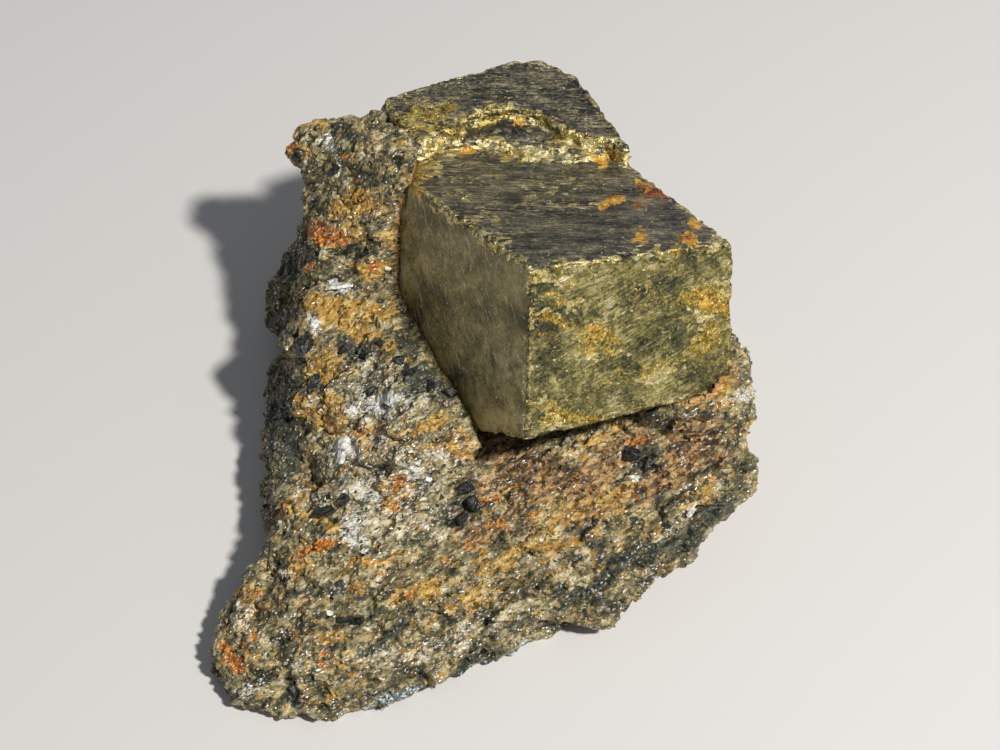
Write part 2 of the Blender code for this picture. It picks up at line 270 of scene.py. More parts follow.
class Finish:
    def __init__(self, name):
        self.material = bpy.data.materials.new(name)
        self.material.use_nodes = True
        self.tree = self.material.node_tree
        self.shader = self.tree.nodes["Principled BSDF"]

    def node(self, kind, settings=None, sockets=None, out=0):
        made = self.tree.nodes.new(kind)
        for key, value in (settings or {}).items():
            if key == "stops":
                self.setStops(made.color_ramp, value)
            else:
                setattr(made, key, value)
        for key, value in (sockets or {}).items():
            self.feed(made.inputs[key], value)
        return Socket(self, made.outputs[out])

    def setStops(self, ramp, stops):
        while len(ramp.elements) < len(stops):
            ramp.elements.new(1.0)
        for element, (place, colour) in zip(ramp.elements, stops):
            element.position = place
            element.color = (*colour, 1.0)

    def feed(self, socket, value):
        if isinstance(value, Socket):
            self.tree.links.new(value.source, socket)
        elif socket.type == "RGBA" and len(value) == 3:
            socket.default_value = (*value, 1.0)
        else:
            socket.default_value = value

    def set(self, **values):
        for name, value in values.items():
            self.feed(self.shader.inputs[name.replace("_", " ")], value)

    # place on the object in millimetres
    def place(self):
        found = self.node("ShaderNodeTexCoord", out="Object")
        return self.vector("SCALE", found, scale=1.0 / mm)

    def vector(self, operation, first, second=(0.0, 0.0, 0.0), scale=1.0, out="Vector"):
        return self.node("ShaderNodeVectorMath", {"operation": operation},
                         {0: first, 1: second, 3: scale}, out)

    def layer(self, name):
        return self.node("ShaderNodeAttribute", {"attribute_name": name}, out="Fac")

    def noise(self, where, size, detail=3.0, rough=0.55, bend=0.0):
        return self.node("ShaderNodeTexNoise", {},
                         {"Vector": where, "Scale": 1.0 / size, "Detail": detail, "Roughness": rough,
                          "Distortion": bend}, "Fac")

    def cells(self, where, size):
        return self.node("ShaderNodeTexVoronoi", {}, {"Vector": where, "Scale": 1.0 / size}, "Color")

    def split(self, colour, count):
        return [self.node("ShaderNodeSeparateXYZ", {}, {0: colour}, part) for part in range(count)]

    def ramp(self, factor, stops):
        return self.node("ShaderNodeValToRGB", {"stops": stops}, {"Fac": factor}, "Color")

    def blend(self, factor, first, second):
        return self.node("ShaderNodeMix", {"data_type": "RGBA", "clamp_factor": True},
                         {0: factor, 6: first, 7: second}, 2)

    # noise drawn out along one way: width and length in millimetres
    def drawn(self, where, way, wide, long, detail, rough, bend):
        run = self.vector("DOT_PRODUCT", where, way, out="Value")
        pull = self.vector("SCALE", way, scale=run * (1.0 / long - 1.0 / wide))
        drawn = self.vector("ADD", self.vector("SCALE", where, scale=1.0 / wide), pull)
        return self.noise(drawn, 1.0, detail, rough, bend)

    # 0 below low, 1 above high
    def rise(self, value, low, high):
        return self.node("ShaderNodeMapRange", {"interpolation_type": "SMOOTHSTEP"},
                         {"Value": value, "From Min": low, "From Max": high})

    def bump(self, height, depth, normal=None):
        sockets = {"Height": height, "Distance": depth * mm, "Strength": 1.0}
        if normal:
            sockets["Normal"] = normal
        return self.node("ShaderNodeBump", {}, sockets, "Normal")

    # turns the surface a little another way in every cell, as flakes of mica lie
    def tilted(self, colour, amount, normal=None):
        base = normal or self.node("ShaderNodeNewGeometry", out="Normal")
        way = self.vector("SUBTRACT", colour, (0.5, 0.5, 0.5))
        turned = self.vector("ADD", base, self.vector("SCALE", way, scale=amount))
        return self.vector("NORMALIZE", turned)


# the rock: sizes in mm, stains and painted shade as ellipses in photograph pixels
rock = {
    "voxel": 0.33,
    "foliation": (-0.49, 0.67, 0.56),  # the schist's sheets lie across this way
    "flattening": 0.8,
    "swell": 0.25,
    "chunks": (3.4, 0.18, 0.55, 11),  # size, facet tilt, height, seed
    "lumps": (1.6, 0.18, 0.32, 23),
    "grains": (0.8, 0.14, 0.14, 37),
    "crackDepth": 0.16,
    "crackWidth": 0.22,
    "swells": (5.0, 1.0, 3),  # size, height, seed
    "sheetStep": 0.9,
    "sheetDepth": 0.28,
    "sheetWaves": (4.0, 1.6, 71),
    "sheetPatches": (6.0, 5),
    "socket": 0.75,  # walls this near the crystal close up on it
    "base": 0.5,  # faces that look down below this height rest on the floor
    "closeGap": 0.42,
    "calmEdge": (0.3, 1.4),  # relief grows between these distances from the crystal
    "grainSize": 0.62,
    "speckSize": 0.21,
    "patchSize": 2.2,
    "stainSize": 2.0,
    "fineSize": 0.9,
}
rockStainsAndShade = {
    "rust": [
        (352, 202, 24, 14, 10, 1.0), (345, 232, 18, 16, 0, 0.5), (368, 268, 24, 8, 0, 0.8),
        (340, 310, 44, 12, -8, 1.0), (350, 330, 34, 10, -18, 0.9), (384, 318, 14, 14, 0, 0.7),
        (312, 405, 14, 26, 85, 0.9), (324, 370, 12, 18, 80, 0.9), (332, 420, 16, 14, 0, 0.9),
        (372, 437, 40, 8, 0, 0.9), (430, 424, 24, 6, 20, 0.9), (440, 448, 34, 8, 0, 0.7),
        (352, 450, 14, 20, 90, 0.7), (352, 470, 12, 10, 0, 0.8), (395, 492, 20, 24, 90, 0.6),
        (318, 520, 16, 10, 0, 0.8), (300, 500, 20, 8, 30, 0.7), (305, 570, 14, 8, 0, 0.9),
        (370, 560, 30, 8, 10, 0.7), (252, 605, 20, 10, 50, 0.9), (330, 635, 16, 10, 0, 0.6),
        (360, 590, 12, 8, 0, 0.6), (420, 590, 26, 12, 20, 0.7), (500, 560, 40, 16, 18, 0.5),
        (600, 500, 60, 24, 20, 0.5), (600, 440, 30, 8, 25, 0.5), (556, 540, 40, 14, 18, 0.5),
        (625, 395, 14, 6, 0, 0.6), (706, 386, 28, 15, 25, 1.0), (722, 405, 8, 14, 80, 0.6),
        (700, 500, 26, 10, 30, 0.5), (296, 160, 8, 20, 95, 0.9), (310, 128, 20, 6, 10, 0.8),
        (350, 157, 12, 5, 10, 0.9), (388, 240, 12, 20, 70, 0.5), (456, 436, 16, 5, 0, 0.8),
        (320, 700, 20, 6, 0, 0.5), (470, 600, 40, 10, 20, 0.4), (388, 352, 10, 14, 60, 0.5),
    ],
    "orange": [
        (322, 238, 15, 24, 70, 1.0), (312, 268, 8, 12, 80, 0.7), (372, 264, 7, 6, 0, 0.9),
        (292, 150, 5, 12, 95, 0.9), (346, 156, 9, 4, 0, 0.9), (310, 548, 26, 7, 28, 1.0),
        (328, 540, 10, 5, 0, 0.9), (238, 660, 9, 22, 100, 1.0), (230, 650, 12, 6, 30, 1.0),
        (246, 672, 10, 8, 0, 1.0), (254, 637, 4, 8, 100, 0.9), (266, 600, 5, 7, 90, 0.9),
        (297, 638, 14, 4, -50, 0.7), (324, 655, 8, 5, 0, 0.8), (416, 603, 7, 6, 0, 0.9),
        (402, 478, 10, 7, 60, 1.0), (396, 505, 8, 7, 0, 0.9), (380, 502, 8, 5, 0, 0.6),
        (364, 440, 6, 4, 0, 0.8), (372, 560, 16, 4, 0, 0.7), (386, 572, 10, 3, 0, 0.7),
        (480, 500, 26, 10, 10, 0.55), (510, 485, 14, 7, 0, 0.5), (534, 488, 14, 8, 0, 0.55),
        (492, 520, 16, 8, 10, 0.6), (636, 440, 9, 4, 10, 0.9), (714, 482, 6, 10, 70, 0.7),
        (740, 445, 6, 8, 60, 0.6), (470, 545, 22, 8, 15, 0.6), (530, 520, 20, 7, 10, 0.5),
        (342, 625, 7, 4, 0, 0.7), (352, 668, 6, 4, 0, 0.6), (445, 560, 12, 6, 0, 0.5),
        (700, 392, 26, 10, 20, 0.7), (318, 665, 6, 4, 0, 0.6), (306, 596, 10, 5, 0, 0.5),
    ],
    "red": [
        (520, 470, 60, 20, 15, 0.6), (570, 480, 70, 22, 20, 0.7), (620, 450, 50, 18, 25, 0.7),
        (690, 436, 46, 26, 20, 0.75), (670, 470, 50, 22, 30, 0.75), (705, 462, 34, 20, 30, 0.6),
        (500, 448, 34, 10, 5, 0.9), (530, 500, 60, 14, 15, 0.5),
        (450, 440, 18, 5, 0, 0.6), (600, 508, 40, 12, 15, 0.4), (486, 486, 16, 10, 0, 0.8),
        (480, 530, 30, 14, 10, 0.5),
    ],
    "seam": [(410, 691, 92, 4, 20, 1.0), (500, 659, 60, 4, 21, 0.9), (345, 715, 30, 4, 14, 0.9)],
    "pale": [
        (344, 450, 11, 20, 100, 1.0), (350, 440, 10, 12, 90, 0.9), (368, 492, 12, 14, 100, 0.8),
        (350, 528, 22, 18, 0, 0.85), (380, 402, 28, 14, 10, 1.0), (352, 408, 12, 8, 20, 0.8),
        (314, 325, 9, 8, 110, 1.0), (338, 288, 18, 5, 5, 1.0), (380, 440, 8, 8, 0, 0.8),
        (330, 142, 12, 9, 30, 0.7), (313, 398, 6, 5, 0, 0.9), (415, 470, 12, 8, 0, 0.7),
        (430, 455, 20, 8, 0, 0.6), (300, 492, 14, 5, 20, 0.7), (450, 640, 90, 12, 22, 0.4),
        (660, 538, 60, 5, 38, 0.45), (738, 400, 6, 26, 95, 0.55), (690, 512, 10, 4, 40, 0.9),
        (636, 478, 9, 4, -50, 1.0), (410, 395, 22, 8, -10, 0.6), (370, 655, 40, 12, 10, 0.4),
        (290, 662, 20, 10, 0, 0.4), (290, 570, 10, 5, 0, 0.6), (365, 545, 8, 6, 0, 0.7),
        (244, 618, 12, 14, 60, 0.5), (460, 500, 40, 20, 0, 0.25), (420, 520, 40, 20, 0, 0.3),
        (255, 690, 14, 6, 0, 0.7), (385, 400, 60, 40, 10, 0.35), (380, 480, 80, 70, 0, 0.4),
        (345, 452, 8, 22, 100, 1.0),
    ],
    # dark: chlorite and black grains, and painted shade: entries near across 275 to 296 shade the left
    # flank, those at (620, 570), (706, 518) and (740, 470) shade the lower right undercut
    "dark": [
        (468, 505, 16, 30, 100, 0.9), (452, 520, 12, 18, 60, 0.8), (322, 513, 16, 6, 10, 1.0),
        (345, 500, 9, 7, 0, 0.9), (357, 250, 22, 9, 5, 0.8), (345, 296, 24, 5, -5, 0.7),
        (420, 382, 24, 20, -30, 0.75), (447, 398, 22, 14, -50, 0.8), (385, 392, 8, 6, 0, 0.6),
        (360, 352, 26, 16, -10, 0.85), (408, 350, 24, 12, -30, 0.75), (400, 320, 10, 14, 60, 0.6),
        (372, 378, 26, 6, 10, 0.6), (588, 520, 8, 28, 105, 0.85), (575, 530, 10, 10, 0, 0.8),
        (640, 458, 15, 13, 20, 1.0), (648, 470, 8, 8, 0, 0.9), (596, 548, 14, 8, 30, 0.7),
        (580, 560, 12, 6, 0, 0.6), (345, 622, 20, 7, 10, 0.9), (342, 588, 8, 12, 80, 0.9),
        (336, 610, 24, 6, 5, 0.6), (390, 632, 50, 5, 42, 0.95), (360, 650, 14, 7, 40, 0.8),
        (295, 695, 12, 16, 110, 0.9), (290, 676, 6, 12, 110, 0.7), (300, 562, 28, 4, 20, 0.7),
        (348, 564, 28, 4, 15, 0.6), (400, 590, 40, 5, 30, 0.7), (386, 130, 40, 12, 0, 0.5),
        (372, 178, 30, 10, 10, 0.7), (300, 157, 7, 8, 0, 0.9), (330, 170, 20, 8, 10, 0.5),
        (620, 570, 100, 11, 34, 0.9), (706, 518, 60, 12, 42, 0.85), (460, 668, 110, 6, 25, 0.8),
        (386, 690, 40, 5, 22, 0.7), (280, 590, 4, 14, 95, 0.6), (405, 245, 8, 24, 95, 0.5),
        (740, 470, 12, 18, 60, 0.6), (655, 412, 10, 5, 20, 0.9), (620, 512, 30, 8, 15, 0.4),
        # painted shade on the shaded left flank: (275, 445), (287, 425), (296, 470), (276, 330) and the
        # whole line after next
        (275, 445, 12, 16, 90, 0.5), (287, 425, 6, 10, 90, 0.7), (296, 470, 5, 26, 100, 0.6),
        (276, 330, 10, 16, 80, 0.5), (560, 470, 14, 6, 10, 0.5), (590, 490, 16, 6, 10, 0.5),
        (286, 420, 80, 26, 94, 0.8), (282, 320, 40, 20, 80, 0.75), (294, 262, 30, 14, 80, 0.75),
        (540, 480, 60, 8, 15, 0.3), (500, 540, 50, 8, 15, 0.4), (610, 530, 50, 8, 25, 0.4),
    ],
}


def stretchedAcross(points, normal, amount):
    normal = np.array(normal) / np.linalg.norm(normal)
    return points + np.outer(points @ normal, normal) * amount


def grainRelief(points, setting):
    size, tilt, height, seed = setting
    offset, gap, numbers = grains(points, size, seed)
    facing = numbers * 2.0 - 1.0
    return (offset * facing).sum(axis=1) * tilt + (numbers[:, 0] - 0.5) * height, gap


def paintRock(mesh, points, normals):
    pixels = toPhoto(points)
    facing = smoothStep(normals @ cameraAxes[2], -0.15, 0.15)
    for name, spots in rockStainsAndShade.items():
        writeLayer(mesh, name, photoSpots(pixels, facing, spots))


def makeRock():
    obj = remeshed(rockNode, "schistMatrix", rock["voxel"])
    points = readPoints(obj.data)
    normals = readNormals(obj.data)
    found = [crystalTree.find_nearest(Vector(point * mm)) for point in points]
    gap = np.array([hit[3] for hit in found]) / mm
    toward = np.array([hit[0] for hit in found]) / mm - points
    toward /= np.maximum(np.linalg.norm(toward, axis=1), 1e-6)[:, None]
    socketWall = ((gap < rock["socket"]) & ((toward * normals).sum(axis=1) > 0.4)).astype(float)
    base = (normals[:, 2] < -0.75) & (points[:, 2] < rock["base"])
    sheets = stretchedAcross(points, rock["foliation"], rock["flattening"])
    size, height, seed = rock["swells"]
    relief = (layeredNoise(points, size, seed) - 0.5) * height + rock["swell"]
    chunk, chunkGap = grainRelief(sheets, rock["chunks"])
    relief += chunk + grainRelief(sheets, rock["lumps"])[0] + grainRelief(sheets, rock["grains"])[0]
    relief -= rock["crackDepth"] * np.exp(-((chunkGap / rock["crackWidth"]) ** 2))
    across = np.array(rock["foliation"]) / np.linalg.norm(rock["foliation"])
    size, height, seed = rock["sheetWaves"]
    level = (points @ across + height * (layeredNoise(points, size, seed) - 0.5)) / rock["sheetStep"]
    ledges = level - np.floor(level) - 0.5
    relief += rock["sheetDepth"] * ledges * (0.4 + 0.6 * softNoise(points, *rock["sheetPatches"]))
    calm = 0.35 + 0.65 * smoothStep(gap, *rock["calmEdge"])
    relief = relief * (1.0 - socketWall) * calm + rock["closeGap"] * socketWall
    moved = points + normals * relief[:, None]
    moved[base, 2] = 0.0
    moved[:, 2] = np.maximum(moved[:, 2], 0.0)
    writePoints(obj.data, moved)
    paintRock(obj.data, points, normals)
    writeLayer(obj.data, "nearCrystal", 1.0 - smoothStep(gap, 0.25, 0.9))
    writeLayer(obj.data, "chunkTone", grains(sheets, rock["lumps"][0], rock["lumps"][3])[2][:, 1])
    print("rock", len(obj.data.polygons), "faces")
    return obj


def rockFinish():
    made = Finish("chloriteSchist")
    place = made.place()
    across = tuple(Vector(rock["foliation"]).normalized())
    along = made.vector("DOT_PRODUCT", place, across, out="Value")
    sheets = made.vector("ADD", place, made.vector("SCALE", across, scale=along * rock["flattening"]))
    one, two, three = made.split(made.cells(sheets, rock["grainSize"]), 3)
    speck = made.cells(sheets, rock["speckSize"])
    small, smallTwo = made.split(speck, 2)
    patch = made.noise(place, rock["patchSize"], 6.0, 0.68, 0.5)
    elsewhere = made.vector("ADD", place, (40.0, 7.0, 19.0))
    other = made.noise(elsewhere, rock["stainSize"], 6.0, 0.7, 0.4)
    fine = made.noise(sheets, rock["fineSize"], 5.0, 0.65)
    pale, dark, rust = made.layer("pale"), made.layer("dark"), made.layer("rust")
    red, orange, tone = made.layer("red"), made.layer("orange"), made.layer("chunkTone")
    kind = one * 0.22 + patch * 1.05 + fine * 0.6 + (tone - 0.5) * 0.26 + pale * 0.14 - 0.445
    colour = made.ramp(kind, [
        (0.22, (0.010, 0.014, 0.009)), (0.36, (0.050, 0.050, 0.026)), (0.48, (0.155, 0.132, 0.062)),
        (0.60, (0.32, 0.265, 0.12)), (0.72, (0.52, 0.46, 0.28)), (0.84, (0.80, 0.77, 0.62)),
    ])
    ochreMask = made.rise(rust * 0.5 + other * 0.9 + (two - 0.5) * 0.3, 0.47, 0.70)
    ochre = made.ramp(fine * 0.65 + one * 0.3 + tone * 0.1, [
        (0.25, (0.14, 0.062, 0.010)), (0.5, (0.46, 0.245, 0.030)), (0.75, (0.74, 0.52, 0.14)),
    ])
    colour = made.blend(ochreMask * 0.9, colour, ochre)
    redMask = made.rise(red * 0.62 + patch * 0.55 + (three - 0.5) * 0.35, 0.40, 0.66)
    brown = made.ramp((fine - 0.5) * 1.3 + (two - 0.5) * 0.5 + (tone - 0.5) * 0.3 + 0.5, [
        (0.25, (0.030, 0.017, 0.009)), (0.43, (0.15, 0.068, 0.022)), (0.6, (0.34, 0.172, 0.055)),
        (0.82, (0.52, 0.35, 0.15)),
    ])
    colour = made.blend(redMask * 0.85, colour, brown)
    paleMask = made.rise(pale * 0.66 + (fine - 0.5) * 1.1 + (small - 0.5) * 0.4, 0.28, 0.54)
    white = made.blend(fine * 0.6 + two * 0.4, (0.42, 0.42, 0.37), (0.97, 0.98, 0.95))
    colour = made.blend(paleMask * 0.95, colour, white)
    # dark green-black chlorite, and painted shade: the dark layer also darkens the shaded left flank and
    # the lower right undercut
    darkAndPaintedShade = dark * 0.75 + (patch - 0.5) * 0.7 + (one - 0.5) * 0.35 + (small - 0.5) * 0.15
    darkAndPaintedShade = made.rise(darkAndPaintedShade, 0.38, 0.58)
    green = made.ramp(fine * 0.6 + small * 0.4, [
        (0.3, (0.006, 0.009, 0.007)), (0.55, (0.022, 0.032, 0.020)), (0.8, (0.085, 0.10, 0.06)),
    ])
    colour = made.blend(darkAndPaintedShade * 0.95, colour, green)
    orangeMask = made.rise(orange * 0.8 + (other - 0.5) * 0.8 + (small - 0.5) * 0.25, 0.34, 0.56)
    glow = made.ramp(fine * 0.6 + small * 0.4, [
        (0.3, (0.20, 0.045, 0.004)), (0.5, (0.50, 0.135, 0.005)), (0.75, (0.74, 0.34, 0.03)),
    ])
    colour = made.blend(orangeMask * 0.95, colour, glow)
    rim = made.layer("nearCrystal")
    colour = made.blend(made.rise(rim + (fine - 0.5) * 0.8, 0.45, 0.85) * 0.8, colour, (0.48, 0.25, 0.08))
    seam = made.rise(made.layer("seam") + (fine - 0.5) * 0.5, 0.4, 0.7)
    glass = made.ramp(fine * 0.7 + small * 0.35, [
        (0.36, (0.03, 0.045, 0.045)), (0.52, (0.16, 0.21, 0.21)), (0.66, (0.66, 0.74, 0.75)),
    ])
    colour = made.blend(seam, colour, glass)
    bright = made.rise(smallTwo + pale * 0.2 - dark * 0.05 - red * 0.03 + (other - 0.5) * 0.5, 0.89, 0.93)
    black = made.rise(smallTwo, 0.12, 0.08)
    colour = made.blend(bright * 0.85, colour, (0.86, 0.85, 0.80))
    colour = made.blend(black * 0.6, colour, (0.01, 0.011, 0.009))
    made.set(Base_Color=colour)
    made.set(Roughness=0.66 - bright * 0.42 - darkAndPaintedShade * 0.28 - seam * 0.5, Metallic=bright * 0.4)
    made.set(Specular_IOR_Level=0.55)
    made.set(Normal=made.tilted(speck, 0.25 + bright * 0.75 + darkAndPaintedShade * 0.3, made.bump(fine, 0.3)))
    return made.material


# angular grains that stand out of the rock: sizes in mm
grainChunks = {
    "count": 3400,
    "size": (0.35, 1.25),
    "flat": 0.5,
    "sink": 0.28,
    "corners": 11,
    "seed": 3,
    "aboveFloor": 0.4,
    "offCrystal": 0.5,
}


def chunkShape(dice, corners, radii, turn):
    shape = bmesh.new()
    for corner in range(corners):
        way = Vector([dice.gauss(0.0, 1.0) for axis in range(3)]).normalized()
        shape.verts.new(turn @ Vector([part * radius for part, radius in zip(way, radii)]))
    bmesh.ops.convex_hull(shape, input=shape.verts)
    loose = [vertex for vertex in shape.verts if not vertex.link_faces]
    bmesh.ops.delete(shape, geom=loose, context="VERTS")
    bmesh.ops.recalc_face_normals(shape, faces=shape.faces)
    shape.verts.index_update()
    verts = [vertex.co.copy() for vertex in shape.verts]
    faces = [[vertex.index for vertex in face.verts] for face in shape.faces]
    shape.free()
    return verts, faces


class Heap:
    def __init__(self):
        self.verts = []
        self.faces = []
        self.tones = []

    def add(self, centre, verts, faces, tone):
        start = len(self.verts)
        self.verts += [(centre + point) * mm for point in verts]
        self.faces += [[start + index for index in face] for face in faces]
        self.tones += [tone] * len(verts)

    def build(self, name):
        mesh = bpy.data.meshes.new(name)
        mesh.from_pydata(self.verts, [], self.faces)
        mesh.update()
        writeLayer(mesh, "chunkTone", np.array(self.tones))
        obj = bpy.data.objects.new(name, mesh)
        bpy.context.scene.collection.objects.link(obj)
        print(name, len(self.faces), "faces")
        return obj


def openFace(polygon):
    centre = polygon.center
    if centre.z < grainChunks["aboveFloor"] * mm or polygon.normal.z < -0.5:
        return False
    return crystalTree.find_nearest(centre)[3] > grainChunks["offCrystal"] * mm


def chosenFaces(surface, setting, dice):
    polygons = [polygon for polygon in surface.data.polygons if openFace(polygon)]
    return dice.choices(polygons, weights=[polygon.area for polygon in polygons], k=setting["count"])


def scatterChunks(surface):
    setting = grainChunks
    dice = random.Random(setting["seed"])
    lie = Vector(rock["foliation"]).to_track_quat("Z", "Y").to_matrix()
    heap = Heap()
    for polygon in chosenFaces(surface, setting, dice):
        long = dice.uniform(*setting["size"]) * dice.uniform(0.55, 1.0)
        radii = (long * 0.5, long * 0.5 * dice.uniform(0.6, 1.0), long * 0.5 * setting["flat"])
        tipped = Matrix.Rotation(dice.gauss(0.0, 0.5), 3, "X")
        spun = Matrix.Rotation(dice.uniform(0.0, math.tau), 3, "Z")
        verts, faces = chunkShape(dice, setting["corners"], radii, lie @ tipped @ spun)
        centre = polygon.center / mm - polygon.normal * long * setting["sink"]
        heap.add(centre, verts, faces, dice.random())
    obj = heap.build("schistGrains")
    paintRock(obj.data, readPoints(obj.data), readNormals(obj.data))
    return obj


# large black mica crystals and white quartz grains: (across, down) in the photograph, length, width, turn
blackGrains = {
    "places": [
        (306, 346, 3.0, 1.8, 80), (316, 385, 2.2, 1.3, 60), (301, 362, 1.6, 1.2, 20),
        (322, 514, 3.0, 1.1, 10), (345, 500, 1.5, 1.2, 40), (300, 158, 1.4, 1.3, 0),
        (345, 618, 2.2, 0.9, 10), (340, 590, 1.8, 1.1, 80), (358, 622, 1.4, 0.9, 30),
        (466, 488, 1.5, 1.2, 40), (472, 504, 1.7, 1.2, 100), (462, 518, 1.5, 1.1, 60),
        (450, 524, 1.2, 1.0, 0), (591, 516, 1.6, 1.0, 100), (586, 535, 1.5, 1.0, 60),
        (634, 452, 2.4, 1.7, 20), (646, 464, 1.8, 1.4, 60), (352, 246, 1.6, 1.0, 0),
        (364, 254, 1.5, 1.0, 20), (346, 350, 1.6, 1.1, 0), (362, 358, 1.7, 1.1, 30),
        (380, 346, 1.4, 1.0, 60), (412, 374, 1.6, 1.1, 30), (428, 388, 1.5, 1.1, 60),
        (450, 396, 1.6, 1.2, 20), (400, 362, 1.3, 0.9, 0), (294, 690, 1.5, 1.0, 110),
        (300, 702, 1.4, 1.0, 60), (654, 412, 1.2, 0.8, 20), (372, 392, 1.2, 0.9, 20),
        (386, 408, 1.1, 0.8, 0), (287, 424, 1.4, 0.9, 90), (583, 92, 1.5, 0.8, -50),
        (592, 105, 1.3, 0.7, -60), (575, 83, 1.1, 0.7, -40), (335, 172, 1.5, 1.0, 20),
    ],
    "thick": 0.55,
    "onCrystal": -0.1,  # how far their middles stand off the crystal
    "corners": 12,
    "seed": 21,
}
whiteGrains = {
    "places": [
        (314, 325, 1.6, 0.9, 120), (338, 288, 2.6, 0.5, 5), (346, 287, 1.6, 0.4, 8),
        (318, 397, 1.1, 0.7, 0), (331, 141, 1.5, 0.8, 40), (633, 477, 1.6, 0.5, -50),
        (639, 483, 1.1, 0.4, -40), (691, 512, 1.2, 0.6, 50), (346, 446, 1.8, 1.3, 90),
        (343, 457, 1.6, 1.0, 80), (283, 524, 0.7, 0.6, 0), (540, 541, 0.7, 0.5, 0),
        (330, 613, 0.7, 0.6, 0), (318, 668, 0.7, 0.5, 0), (389, 268, 0.8, 0.5, 0),
        (428, 478, 0.8, 0.6, 20),
    ],
    "thick": 0.5,
    "corners": 12,
    "seed": 33,
}


# hosts are pairs of a tree and how far (mm) the grains stand off it
def placedChunks(name, setting, *hosts):
    dice = random.Random(setting["seed"])
    heap = Heap()
    for across, down, long, wide, turn in setting["places"]:
        found = [(*underPhoto(tree, across, down), lift) for tree, lift in hosts]
        found = [hit for hit in found if hit[0] is not None]
        place, normal, lift = min(found, key=lambda hit: np.linalg.norm(hit[0] - eye))
        angle = math.radians(turn)
        side = cameraAxes[0] * math.cos(angle) + cameraAxes[1] * math.sin(angle)
        up = Vector(normal)
        along = Vector(side - normal * (side @ normal)).normalized()
        turned = Matrix([along, up.cross(along), up]).transposed()
        radii = (long * 0.55, wide * 0.55, wide * setting["thick"])
        verts, faces = chunkShape(dice, setting["corners"], radii, turned)
        heap.add(Vector(place) + up * lift, verts, faces, dice.random())
    return heap.build(name)


def grainFinish(name, low, high, roughness, metallic):
    made = Finish(name)
    place = made.place()
    fine = made.noise(place, 0.5, 5.0, 0.7)
    one, two = made.split(made.cells(place, 0.28), 2)
    made.set(Base_Color=made.blend(made.rise(fine * 0.7 + one * 0.4, 0.35, 0.8), low, high))
    made.set(Roughness=roughness + two * 0.25, Metallic=metallic)
    made.set(Normal=made.tilted(made.cells(place, 0.28), 0.5, made.bump(fine, 0.15)))
    return made.material


# mica plates set in the rock: sizes in mm
flakes = {
    "silver": {"count": 2400, "size": (0.2, 0.5), "thick": 0.05, "seed": 5},
    "green": {"count": 3800, "size": (0.25, 0.8), "thick": 0.06, "seed": 9},
}


# corners of a thin plate round the origin, lower ones first
def plate(dice, normal, size, thick):
    side = normal.orthogonal().normalized()
    side.rotate(Matrix.Rotation(dice.uniform(0.0, math.tau), 3, normal))
    other = normal.cross(side)
    corners = []
    for quarter in range(4):
        angle = quarter * math.tau / 4 + dice.uniform(-0.45, 0.45)
        reach = size * 0.5 * dice.uniform(0.7, 1.2)
        narrow = dice.uniform(0.6, 1.0)
        corners.append((side * math.cos(angle) + other * math.sin(angle) * narrow) * reach)
    half = normal * thick * 0.5
    return [corner - half for corner in corners] + [corner + half for corner in corners]


def scatterPlates(name, surface, setting):
    dice = random.Random(setting["seed"])
    sheet = Vector(rock["foliation"]).normalized()
    walls = [(edge, (edge + 1) % 4, (edge + 1) % 4 + 4, edge + 4) for edge in range(4)]
    heap = Heap()
    for polygon in chosenFaces(surface, setting, dice):
        loose = Vector([dice.gauss(0.0, 1.0) for axis in range(3)])
        lie = sheet if sheet.dot(polygon.normal) > 0 else -sheet
        normal = (polygon.normal * 1.1 + lie * 0.5 + loose * 0.3).normalized()
        size = dice.uniform(*setting["size"]) * dice.uniform(0.6, 1.0)
        verts = plate(dice, normal, size, setting["thick"])
        heap.add(polygon.center / mm, verts, [(3, 2, 1, 0), (4, 5, 6, 7), *walls], 0.5)
    return heap.build(name)


def plateFinish(name, light, dark, roughness, metallic):
    made = Finish(name)
    place = made.place()
    one, two = made.split(made.cells(place, 0.5), 2)
    made.set(Base_Color=made.blend(one, light, dark))
    made.set(Roughness=roughness + two * 0.2, Metallic=metallic)
    made.set(Normal=made.bump(made.noise(place, 0.12), 0.02))
    return made.material


# the crystal: sizes in mm, places as photograph pixels
crystal = {
    "voxel": 0.28,
    "faces": {  # a pixel on each face
        "terrace": (560, 225),
        "rightFront": (630, 330),
        "leftFace": (465, 330),
        "rearTerrace": (480, 98),
    },
    "edgeChip": 0.35,
    "scratches": ((460, 270), (480, 330)),  # marks run from one pixel towards the other
    "slants": ((560, 330), (612, 300)),
    "band": [
        (440, 150, 34, 14, 0, 1.0), (500, 140, 50, 18, 5, 1.0), (560, 150, 50, 16, 0, 1.0),
        (615, 150, 34, 12, -10, 1.0),
    ],
    "waves": (4.0, 0.10, 31),  # size, height, seed
    "lines": {  # way they run, width, length, height, seed
        "terrace": ((1.0, 0.12, 0.0), 0.7, 9.0, 0.16, 41),
        "rearTerrace": ((1.0, 0.25, 0.0), 0.8, 7.0, 0.16, 43),
        "rightFront": ((0.75, -0.1, 0.65), 0.9, 6.0, 0.22, 47),
        "leftFace": ((0.3, -0.4, -0.8), 1.2, 9.0, 0.05, 53),
    },
    "chips": ((0.7, 1.0, 1.0), (2.4, 0.11, 0.30, 83)),  # squeeze, then size, facet tilt, height, seed
    "blocks": ((0.45, 0.8, 1.5), (1.1, 0.27, 0.81, 61)),
    "rough": ((1.0, 1.0, 1.0), (1.4, 0.12, 0.18, 79)),
    "cloudSize": 4.0,
    "patchSize": 1.9,
    "fineSize": 0.8,
    "gritSize": 0.17,
    "chipSize": 0.5,
}
